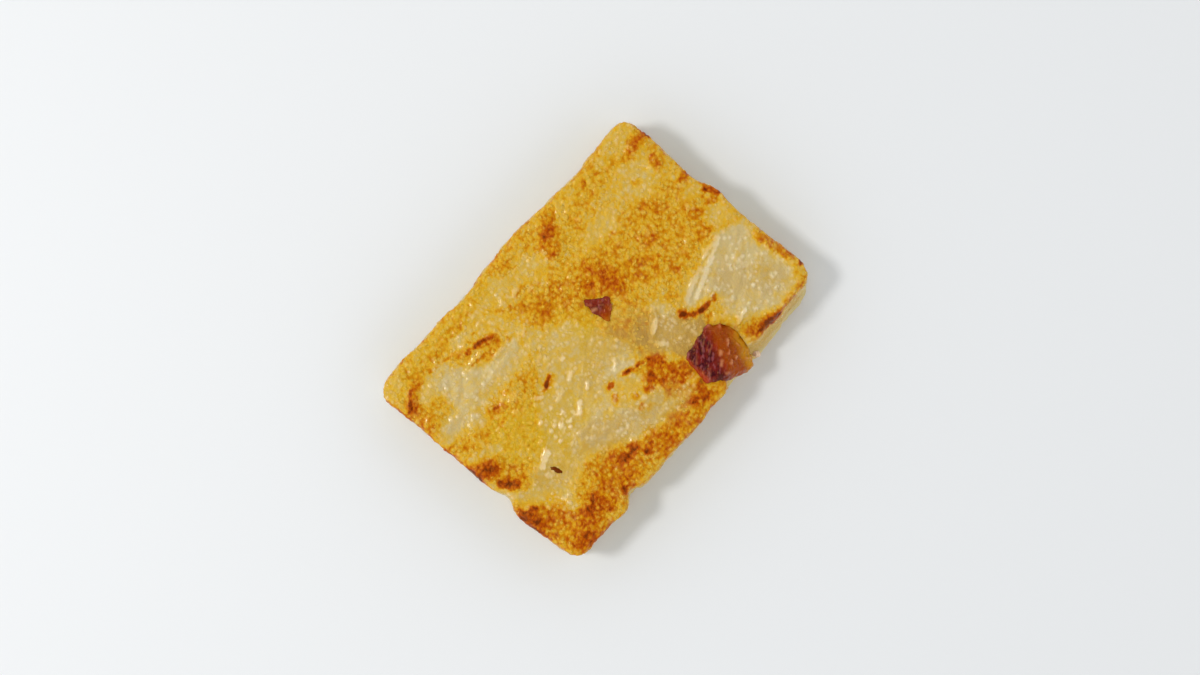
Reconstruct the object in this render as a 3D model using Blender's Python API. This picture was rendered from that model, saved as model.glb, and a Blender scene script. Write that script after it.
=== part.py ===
"""One slice of pan-fried radish cake, with two pieces of cured sausage set in its fried face.

Blender 4.5, metres, +Z up. The slice lies flat on the XY plane with its long side along X, and the
origin is at the bottom centre of the box round the whole part.
"""

import math

import bmesh
import bpy
from mathutils import Vector, noise

# Lengths below are in millimetres, and each finished mesh is scaled to metres by MM
MM = 0.001

# Driving dimensions of the slice
LENGTH = 78.0
WIDTH = 54.6
THICKNESS = 12.4
CELL = 1.42
RIM_RADIUS = 1.5
CORNER_RADIUS = {(1, 1): 2.6, (1, -1): 7.0, (-1, -1): 3.8, (-1, 1): 2.9}
CORNER_SHIFT = {(1, 1): (-0.9, -0.4), (1, -1): (0.7, 0.1), (-1, -1): (-0.1, 0.0), (-1, 1): (0.0, 0.8)}

# Uneven outline: place along the side, how far the edge stands out (or in), half width
OUTLINE = {
    ("x", 1): ((2.0, 0.9, 3.2), (8.2, -0.8, 3.0), (-19.0, 0.4, 6.0), (19.5, 0.3, 3.0)),
    ("x", -1): ((-7.3, -1.5, 2.0), (-13.2, 0.6, 3.4), (23.0, 0.4, 3.2), (-24.0, -0.4, 2.0)),
    ("y", 1): ((3.0, 0.7, 9.0), (21.5, -0.6, 6.5), (-31.0, 0.4, 4.0), (-12.0, -0.3, 5.0)),
    ("y", -1): ((-24.0, 0.8, 2.6), (-20.2, -1.7, 1.9), (22.5, 0.6, 5.0), (-2.0, 0.3, 5.0)),
}
OUTLINE_REACH = 9.0
RAGGED = 0.34

# The side along -Y is cut on a slant towards the +X corner, so its top edge stands back
SLANT_FROM, SLANT_TO = 12.0, 35.5
SLANT_SET_BACK = 2.4

# Pale hollows left where the face missed the pan: x, y, half length, half width, turn in degrees
HOLLOWS = (
    (30.0, -14.0, 10.0, 8.6, -12),
    (20.5, -12.0, 6.5, 4.6, -18),
    (-4.0, -4.5, 16.5, 6.2, -22),
    (-14.0, -15.0, 11.0, 3.8, -20),
    (-29.0, 11.0, 9.0, 6.6, 35),
    (36.0, 2.5, 2.6, 4.0, 0),
    (-32.0, -13.0, 5.5, 3.2, -28),
)
HOLLOW_DEPTH = 0.42

# Shreds of radish that lie in the face: the same five values, with a height for all of them
SHREDS = (
    (23.0, -6.2, 8.5, 1.3, 8),
    (25.5, -10.4, 8.5, 1.2, 4),
    (31.0, -16.0, 6.0, 1.2, 52),
    (25.0, -18.5, 5.0, 1.2, 24),
    (-12.5, -12.8, 10.0, 1.4, -20),
    (-12.0, -17.2, 9.0, 1.3, -17),
    (-30.5, 8.5, 7.5, 1.2, 50),
    (-26.0, 13.0, 7.0, 1.2, 44),
    (3.0, -3.0, 8.0, 1.3, -32),
    (-10.0, -1.4, 9.0, 1.3, -14),
    (-3.0, 15.0, 9.0, 1.2, 12),
    (17.0, 9.0, 8.5, 1.2, -24),
)
SHRED_HEIGHT = 0.34

# Browned blisters and crags: x, y, half length, half width, turn, height
CRAGS = (
    (7.8, 20.5, 3.0, 2.4, 20, 0.50),
    (-18.5, 18.8, 5.2, 1.3, -19, 0.40),
    (-16.0, 1.6, 3.8, 1.0, 14, 0.34),
    (-35.2, -1.2, 3.4, 2.6, -30, 0.60),
    (-36.0, 3.0, 2.0, 1.8, 0, 0.40),
    (-34.4, -8.2, 3.0, 1.7, -36, 0.50),
    (-36.6, -13.4, 2.4, 1.8, 0, 0.50),
    (-35.4, 21.0, 2.8, 1.0, 41, 0.45),
    (-36.2, 15.0, 2.6, 2.0, 0, 0.35),
    (19.0, -10.9, 5.0, 1.2, -22, 0.45),
    (25.0, -23.3, 4.8, 1.5, -16, 0.45),
    (35.2, 20.6, 3.8, 1.4, -5, 0.50),
    (35.4, 15.4, 2.0, 1.6, 0, 0.35),
    (37.0, 9.4, 1.8, 1.6, 0, 0.35),
    (37.0, -11.6, 2.2, 3.2, 0, 0.45),
    (-0.6, -10.0, 6.6, 1.2, -19, 0.35),
    (-13.0, -23.0, 5.0, 2.4, -6, 0.45),
    (-30.0, -23.4, 4.0, 2.4, -12, 0.45),
    (2.0, -23.6, 4.0, 1.8, 0, 0.40),
)

# Broken edge beside the larger piece of sausage
BREAK = (20.0, -24.6, 6.0, 5.0, 0)
BREAK_DEPTH = 1.9

# Larger piece of sausage, as x, y and height over the plain face: its fried top is level, and its
# outer face falls away to the shoulder
CHUNK_TOP = (
    (8.7, -16.4, 1.1), (15.5, -15.3, 1.0), (16.6, -16.2, 0.9), (15.9, -18.4, 1.0), (14.4, -21.0, 1.1),
    (12.2, -24.8, 1.0), (9.6, -24.4, 0.95), (7.4, -22.6, 0.9),
)
CHUNK_SHOULDER = (
    (8.2, -15.8, -0.9), (16.6, -14.5, -1.0), (19.4, -16.8, -1.8), (20.3, -20.0, -2.5), (19.2, -24.2, -3.3),
    (16.4, -28.3, -3.6), (11.0, -25.9, -1.8), (6.9, -23.0, -1.0),
)
CHUNK_BURIED = 6.8
CHUNK_ROUNDING = 0.7

# Smaller piece of sausage, in the same way
BIT_TOP = ((3.5, 8.0, 0.4), (3.1, 4.3, 0.3), (3.8, 0.6, 0.2), (7.9, 4.1, 0.35))
BIT_BURIED = 3.0
BIT_ROUNDING = 0.4

# Room between a piece of sausage and its pocket, which is open upwards
POCKET_GAP = 0.32
POCKET_TOP = 4.0


def smooth(low, high, value):
    """0 below low and 1 above high, with an even curve between them. low may be above high."""
    share = min(1.0, max(0.0, (value - low) / (high - low)))
    return share * share * (3.0 - 2.0 * share)


def wobble(x, y, z, size, seed):
    """Even noise from -1 to 1, with features about size across."""
    return noise.noise(Vector((x / size + seed, y / size - seed, z / size + 0.37 * seed)))


def blob(x, y, shape, ragged=0.3):
    """1 inside an ellipse (x, y, half length, half width, turn), 0 outside it, with an uneven border."""
    centre_x, centre_y, half_length, half_width, turn = shape[:5]
    turn = math.radians(turn)
    dx, dy = x - centre_x, y - centre_y
    along = (dx * math.cos(turn) + dy * math.sin(turn)) / half_length
    across = (dy * math.cos(turn) - dx * math.sin(turn)) / half_width
    border = math.hypot(along, across) + ragged * wobble(x, y, 0.0, 3.4, 11.0)
    return smooth(1.2, 0.75, border)


def grid_block(length, width, height, cell):
    """A block on the XY plane whose faces are cut into square cells."""
    block = bmesh.new()
    bmesh.ops.create_cube(block, size=1.0)
    bmesh.ops.scale(block, vec=(length, width, height), verts=block.verts)
    bmesh.ops.translate(block, vec=(0.0, 0.0, height / 2), verts=block.verts)
    for axis, extent in enumerate((length, width, height)):
        along = [e for e in block.edges if abs(e.verts[0].co[axis] - e.verts[1].co[axis]) > cell / 2]
        cuts = max(1, round(extent / cell) - 1)
        bmesh.ops.subdivide_edges(block, edges=along, cuts=cuts, use_grid_fill=True)
    return block


def rounded_plan(x, y):
    """(x, y) with the block's upright corners rounded, and the way out of the slice there."""
    side_x, side_y = (1 if x >= 0 else -1), (1 if y >= 0 else -1)
    radius = CORNER_RADIUS[side_x, side_y]
    over_x = abs(x) - (LENGTH / 2 - radius)
    over_y = abs(y) - (WIDTH / 2 - radius)
    if over_x > 0 and over_y > 0:
        reach = math.hypot(over_x, over_y)
        pull = max(over_x, over_y) / reach
        x = side_x * (LENGTH / 2 - radius + over_x * pull)
        y = side_y * (WIDTH / 2 - radius + over_y * pull)
        return x, y, side_x * over_x / reach, side_y * over_y / reach
    if LENGTH / 2 - abs(x) < WIDTH / 2 - abs(y):
        return x, y, float(side_x), 0.0
    return x, y, 0.0, float(side_y)


def rounded_rim(inner, z):
    """How far a point moves in, and its height, where the walls turn into the faces."""
    out = RIM_RADIUS - inner
    up = max(z - (THICKNESS - RIM_RADIUS), RIM_RADIUS - z)
    if out <= 0 or up <= 0:
        return 0.0, z
    pull = max(out, up) / math.hypot(out, up)
    drop = up * (1.0 - pull)
    return out * (1.0 - pull), z - drop if z > THICKNESS / 2 else z + drop


def outline_offset(side, place, z):
    """How far one wall stands out from the plain block at a place along it and a height."""
    height = z / THICKNESS
    offset = sum(
        size * math.exp(-(((place - at) / half) ** 2)) * (0.45 + 0.55 * height)
        for at, size, half in OUTLINE[side]
    )
    seed = 3.0 + 7.0 * ("x", "y").index(side[0]) + 2.0 * side[1]
    offset += RAGGED * wobble(place, 0.0, z, 5.5, seed)
    offset += RAGGED * wobble(place, 0.0, z * 2.2, 2.6, seed + 20.0)
    return offset - 0.45 * math.sin(math.pi * height)


def slant_set_back(x, z):
    """How far the -Y wall stands back towards its top, near the +X corner."""
    share = smooth(SLANT_FROM - 4.0, SLANT_FROM + 2.0, x) * smooth(SLANT_TO + 4.0, SLANT_TO - 2.0, x)
    return SLANT_SET_BACK * share * smooth(0.35, 1.0, z / THICKNESS)


def top_relief(x, y):
    """Height of the fried face above or below flat."""
    hollow = max(blob(x, y, shape) for shape in HOLLOWS)
    relief = -HOLLOW_DEPTH * hollow
    relief += SHRED_HEIGHT * max(blob(x, y, shape, 0.15) for shape in SHREDS) * (0.45 + 0.55 * hollow)
    relief += max(crag[5] * blob(x, y, crag, 0.35) for crag in CRAGS)
    relief -= BREAK_DEPTH * blob(x, y, BREAK, 0.1)
    relief += 0.45 * wobble(x, y, 0.0, 21.0, 5.0)
    relief += 0.20 * wobble(x, y, 0.0, 4.2, 31.0)
    return relief


def moved(x, y, z):
    """Where a point of the plain block lies in the fried slice."""
    inner = min(LENGTH / 2 - abs(x), WIDTH / 2 - abs(y))
    plan_x, plan_y, out_x, out_y = rounded_plan(x, y)
    inward, height = rounded_rim(inner, z)
    plan_x -= out_x * inward
    plan_y -= out_y * inward

    share_x, share_y = 0.5 + plan_x / LENGTH, 0.5 + plan_y / WIDTH
    for (side_x, side_y), (shift_x, shift_y) in CORNER_SHIFT.items():
        weight = (share_x if side_x > 0 else 1 - share_x) * (share_y if side_y > 0 else 1 - share_y)
        plan_x += weight * shift_x
        plan_y += weight * shift_y

    side_x, side_y = (1 if x >= 0 else -1), (1 if y >= 0 else -1)
    hold_x = max(0.0, 1.0 - (LENGTH / 2 - abs(x)) / OUTLINE_REACH) ** 2
    hold_y = max(0.0, 1.0 - (WIDTH / 2 - abs(y)) / OUTLINE_REACH) ** 2
    new_x = plan_x + side_x * hold_x * outline_offset(("x", side_x), plan_y, z)
    new_y = plan_y + side_y * hold_y * outline_offset(("y", side_y), plan_x, z)
    if side_y < 0:
        new_y += hold_y * slant_set_back(plan_x, z)

    if z > THICKNESS / 2:
        height += top_relief(new_x, new_y) * smooth(THICKNESS * 0.62, THICKNESS - RIM_RADIUS, z)
    elif inner < RIM_RADIUS and z < RIM_RADIUS:
        height += 0.35 * abs(wobble(new_x, new_y, 0.0, 3.6, 47.0))
    return new_x, new_y, height


def slice_mesh():
    """The slice as one closed block, with its flat underside as a single face."""
    block = grid_block(LENGTH, WIDTH, THICKNESS, CELL)
    for vert in block.verts:
        vert.co = moved(*vert.co)
    underside = [f for f in block.faces if all(abs(v.co.z) < 1e-5 for v in f.verts)]
    bmesh.ops.dissolve_faces(block, faces=underside, use_verts=True)
    bmesh.ops.recalc_face_normals(block, faces=block.faces)
    return block


def stacked_rings(rings):
    """A closed solid through rings of points, top first, with heights measured from the plain face."""
    solid = bmesh.new()
    loops = []
    for corners in rings:
        loops.append([solid.verts.new((x, y, THICKNESS + height)) for x, y, height in corners])
    solid.faces.new(loops[0])
    solid.faces.new(reversed(loops[-1]))
    for upper, lower in zip(loops, loops[1:]):
        for i, vert in enumerate(upper):
            j = (i + 1) % len(upper)
            solid.faces.new((vert, lower[i], lower[j], upper[j]))
    bmesh.ops.recalc_face_normals(solid, faces=solid.faces)
    return solid


def level(ring, height):
    """The ring moved straight up or down to one height over the plain face."""
    return tuple((x, y, height) for x, y, old_height in ring)


def rounded_edges(solid, radius):
    """Bevels the edges of a solid."""
    bmesh.ops.bevel(
        solid,
        geom=list(solid.edges),
        offset=radius,
        segments=2,
        affect="EDGES",
        profile=0.5,
        material=-1,
        clamp_overlap=True,
    )


def grown(solid, gap):
    """Moves each face of a closed solid out by about gap."""
    solid.normal_update()
    places = [vert.co + vert.normal * gap * vert.calc_shell_factor() for vert in solid.verts]
    for vert, place in zip(solid.verts, places):
        vert.co = place


def roughened(solid, cell, depth, size):
    """Cuts a solid's faces finer and presses hollows into them, never outwards."""
    long_edges = [e for e in solid.edges if e.calc_length() > 1.6 * cell]
    bmesh.ops.subdivide_edges(solid, edges=long_edges, cuts=2, use_grid_fill=True)
    bmesh.ops.triangulate(solid, faces=solid.faces)
    solid.normal_update()
    places = []
    for vert in solid.verts:
        press = depth * (0.5 + 0.5 * wobble(*vert.co, size, 61.0))
        places.append(vert.co - vert.normal * press)
    for vert, place in zip(solid.verts, places):
        vert.co = place


def pocket_mesh(outline, depth, rounding):
    """The pocket for a piece of sausage with this outline and depth."""
    solid = stacked_rings((level(outline, POCKET_TOP), level(outline, -depth)))
    rounded_edges(solid, rounding)
    grown(solid, POCKET_GAP)
    return solid


def chunk_mesh():
    """The larger piece of sausage."""
    solid = stacked_rings((CHUNK_TOP, CHUNK_SHOULDER, level(CHUNK_SHOULDER, -CHUNK_BURIED)))
    rounded_edges(solid, CHUNK_ROUNDING)
    roughened(solid, 1.4, 0.3, 2.2)
    return solid


def bit_mesh():
    """The smaller piece of sausage."""
    solid = stacked_rings((BIT_TOP, level(BIT_TOP, -BIT_BURIED)))
    rounded_edges(solid, BIT_ROUNDING)
    roughened(solid, 1.2, 0.15, 1.6)
    return solid


def material(name, colour, roughness):
    """A plain Principled finish for one kind of piece."""
    made = bpy.data.materials.new(name)
    made.use_nodes = True
    shader = made.node_tree.nodes["Principled BSDF"]
    shader.inputs["Base Color"].default_value = (*colour, 1.0)
    shader.inputs["Roughness"].default_value = roughness
    shader.inputs["Metallic"].default_value = 0.0
    return made


def placed(name, solid, finish, parent):
    """An object in metres made from a bmesh in millimetres, under the part's empty."""
    bmesh.ops.scale(solid, vec=(MM, MM, MM), verts=solid.verts)
    mesh = bpy.data.meshes.new(name)
    solid.to_mesh(mesh)
    solid.free()
    mesh.shade_smooth()
    mesh.set_sharp_from_angle(angle=math.radians(50))
    made = bpy.data.objects.new(name, mesh)
    bpy.context.scene.collection.objects.link(made)
    made.parent = parent
    if finish:
        mesh.materials.append(finish)
    return made


def cut_pocket(body, cutter):
    """Takes the cutter's shape out of the body, and keeps the cutter out of the render."""
    cutter.hide_render = True
    cutter.display_type = "WIRE"
    cut = body.modifiers.new(cutter.name, "BOOLEAN")
    cut.operation = "DIFFERENCE"
    cut.solver = "EXACT"
    cut.object = cutter


def centre_part(root, pieces):
    """Moves the part so that its box stands on the origin's plane, centred on the origin."""
    points = [Vector(vert.co) for piece in pieces for vert in piece.data.vertices]
    low = [min(point[axis] for point in points) for axis in range(3)]
    high = [max(point[axis] for point in points) for axis in range(3)]
    root.location = (-(low[0] + high[0]) / 2, -(low[1] + high[1]) / 2, -low[2])


def main():
    for old in list(bpy.data.objects):
        bpy.data.objects.remove(old, do_unlink=True)

    fried_cake = material("fried_cake", (0.60, 0.35, 0.07), 0.42)
    cured_sausage = material("cured_sausage", (0.19, 0.035, 0.020), 0.34)

    root = bpy.data.objects.new("radish_cake", None)
    bpy.context.scene.collection.objects.link(root)

    cake = placed("cake_slice", slice_mesh(), fried_cake, root)
    chunk = placed("sausage_chunk", chunk_mesh(), cured_sausage, root)
    bit = placed("sausage_bit", bit_mesh(), cured_sausage, root)
    chunk_pocket = pocket_mesh(CHUNK_SHOULDER, CHUNK_BURIED, CHUNK_ROUNDING)
    bit_pocket = pocket_mesh(BIT_TOP, BIT_BURIED, BIT_ROUNDING)
    cut_pocket(cake, placed("chunk_pocket", chunk_pocket, None, root))
    cut_pocket(cake, placed("bit_pocket", bit_pocket, None, root))
    centre_part(root, (cake, chunk, bit))


main()
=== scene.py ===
"""The looks of one slice of pan-fried radish cake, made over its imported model. Blender 4.5, metres."""

import math

import bmesh
import bpy
import numpy as np
from bpy.props import FloatProperty, FloatVectorProperty, PointerProperty
from bpy.types import Operator, Panel, PropertyGroup
from mathutils import Matrix, Vector, noise
from mathutils.bvhtree import BVHTree


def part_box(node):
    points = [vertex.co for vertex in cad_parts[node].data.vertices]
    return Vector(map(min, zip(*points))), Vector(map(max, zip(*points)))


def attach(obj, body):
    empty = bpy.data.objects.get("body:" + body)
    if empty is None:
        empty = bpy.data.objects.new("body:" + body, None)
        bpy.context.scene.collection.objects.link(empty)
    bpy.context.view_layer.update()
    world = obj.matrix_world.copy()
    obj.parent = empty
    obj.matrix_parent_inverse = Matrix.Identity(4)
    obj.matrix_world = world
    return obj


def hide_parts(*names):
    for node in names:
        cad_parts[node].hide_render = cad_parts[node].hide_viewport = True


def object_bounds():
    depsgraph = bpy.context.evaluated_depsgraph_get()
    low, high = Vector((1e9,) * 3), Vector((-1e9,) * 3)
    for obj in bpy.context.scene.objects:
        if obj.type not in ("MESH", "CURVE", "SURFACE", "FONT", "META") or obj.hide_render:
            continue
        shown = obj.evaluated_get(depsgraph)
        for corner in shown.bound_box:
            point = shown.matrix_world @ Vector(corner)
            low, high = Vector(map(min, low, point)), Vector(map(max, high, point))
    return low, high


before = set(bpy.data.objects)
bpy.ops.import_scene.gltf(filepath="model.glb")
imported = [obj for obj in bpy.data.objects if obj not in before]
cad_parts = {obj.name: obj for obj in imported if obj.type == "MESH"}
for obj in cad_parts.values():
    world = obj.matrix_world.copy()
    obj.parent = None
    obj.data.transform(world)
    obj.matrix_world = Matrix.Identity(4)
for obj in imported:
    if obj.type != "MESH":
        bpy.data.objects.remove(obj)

bl_info = {
    "name": "Fried Radish Cake",
    "version": (1, 0, 0),
    "blender": (4, 5, 0),
    "location": "3D View > Sidebar > Radish Cake",
    "description": "Makes a slice of pan-fried radish cake with cured sausage, and a plain stage for it",
    "category": "Add Mesh",
}

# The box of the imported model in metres, and its two corners in millimetres, as all that follows
MODEL_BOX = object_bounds()
MM = 0.001
LOW = np.array(MODEL_BOX[0]) / MM
HIGH = np.array(MODEL_BOX[1]) / MM

# Height of the fried face, below its highest blister
HIGHEST_BLISTER = 0.75
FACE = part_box("cake_slice")[1].z / MM - HIGHEST_BLISTER

# How far the batter laps towards each piece of sausage
COLLARS = {"sausage_chunk": 0.4, "sausage_bit": 0.04}

# Turns that bring the strands of radish, and the muscle of the sausage, to the x axis
STRAND_TURN = np.array(((0.82, -0.57, 0.0), (0.57, 0.82, 0.0), (0.0, 0.0, 1.0)))
MUSCLE_TURN = np.array(((0.67, -0.74, 0.0), (0.74, 0.67, 0.0), (0.0, 0.0, 1.0)))

# Way to the key light and its distance in metres, and the heights in the sky between which the fill fades
KEY_WAY = Vector((-0.34, 0.41, 0.85)).normalized()
KEY_DISTANCE = 0.95
FADE = (0.70, 0.93)

# Outlines of the pale places where the face missed the pan, and how pale each one is
PALE_PLACES = (
    # By the corner beside the sausage
    (1.0, ((16.0, -9.6), (17.6, -7.4), (21.0, -6.2), (26.0, -5.2), (32.0, -4.1), (36.6, -6.0), (38.2, -8.6),
           (36.6, -11.6), (36.8, -16.6), (37.8, -20.2), (35.4, -23.4), (30.0, -23.6), (25.4, -21.8),
           (22.0, -20.4), (20.6, -16.2), (22.8, -13.4), (18.0, -10.8))),
    # Between the sausage and the middle
    (0.66, ((8.6, -7.0), (12.0, -2.8), (14.4, -4.4), (15.0, -8.4), (13.8, -11.2), (16.0, -13.6),
            (10.0, -14.4), (6.2, -13.0), (7.0, -9.4))),
    # The long translucent place across the middle
    (0.66, ((-15.0, 4.4), (-7.6, 9.2), (-1.0, 8.4), (0.4, 3.0), (1.4, -2.0), (3.6, -5.0), (2.0, -8.0),
            (-8.0, -8.8), (-9.0, -13.0), (-19.0, -14.2), (-27.0, -15.0), (-30.4, -19.6), (-33.2, -15.6),
            (-36.4, -10.0), (-29.0, -8.6), (-23.0, -4.6), (-20.0, -0.4))),
    # The bright shreds below it
    (0.85, ((-20.0, -10.6), (-11.0, -11.4), (-7.6, -12.4), (-5.6, -16.4), (1.8, -19.2), (4.6, -21.0),
            (0.4, -22.0), (-8.4, -20.4), (-14.6, -17.8), (-18.6, -14.6))),
    # Near the short side that is out of the light
    (0.92, ((-37.2, 12.4), (-31.0, 13.4), (-30.6, 19.4), (-25.6, 20.4), (-23.4, 17.0), (-20.0, 14.6),
            (-11.4, 13.6), (-12.0, 10.8), (-22.0, 10.6), (-27.4, 9.0), (-28.4, 5.8), (-33.0, 8.6),
            (-37.4, 10.0))),
    # Shreds towards the other end
    (0.48, ((10.6, 14.4), (14.0, 16.8), (20.4, 17.8), (22.6, 15.0), (19.0, 12.2), (13.0, 12.6))),
    (0.46, ((23.0, 18.6), (30.0, 20.0), (33.4, 19.2), (34.0, 13.0), (29.0, 11.4), (26.6, 13.6))),
    (0.46, ((31.0, 26.4), (30.4, 22.6), (36.6, 22.6), (37.4, 26.0))),
    (0.6, ((32.4, 6.6), (37.6, 7.4), (37.0, 4.6), (33.0, 4.0))),
    (0.52, ((33.0, 0.4), (38.8, 1.0), (38.6, -3.2), (34.0, -3.6))),
)

# Pale streaks: from x, y to x, y, half width, and how pale
PALE_STREAKS = (
    (-13.0, 19.6, -9.0, 14.6, 2.4, 0.42),
    (-38.2, 24.6, -35.6, 26.2, 1.6, 0.4),
    (-36.6, 2.8, -31.4, 1.0, 1.3, 0.62),
    (-38.6, -2.6, -37.0, -8.0, 0.8, 0.75),
    (-37.0, -8.0, -33.0, -12.6, 1.1, 0.7),
    (-5.8, -5.8, -3.0, -6.7, 1.4, 0.96),
    (-3.0, -6.8, 0.6, -8.3, 0.8, 0.84),
    (-17.0, -10.6, -8.6, -9.8, 2.2, 0.84),
    (-20.6, 21.6, -8.0, 22.4, 1.4, 0.46),
    (18.6, -19.0, 19.4, -26.0, 1.5, 0.55),
    (22.0, -26.6, 34.0, -26.4, 0.9, 0.45),
    (-8.0, 22.4, 3.0, 19.6, 2.8, 0.46),
    (1.4, 17.4, 4.6, 19.6, 1.4, 0.42),
    (-33.0, 19.6, -26.0, 20.4, 1.6, 0.66),
    (-30.0, 10.2, -10.0, 11.0, 2.6, 0.62),
    (-7.0, -9.8, -2.4, -11.6, 1.9, 0.72),
    (-6.4, -12.6, -1.4, -16.6, 1.7, 0.72),
    (0.0, -20.6, 6.0, -20.2, 1.1, 0.5),
    (-30.6, -13.2, -29.8, -18.8, 1.4, 0.62),
    (26.0, 18.4, 34.4, 18.0, 1.4, 0.36),
    (27.0, 24.2, 33.6, 24.4, 1.5, 0.3),
    (-10.0, 6.6, -6.8, 8.0, 0.8, 0.4),
)

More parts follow.
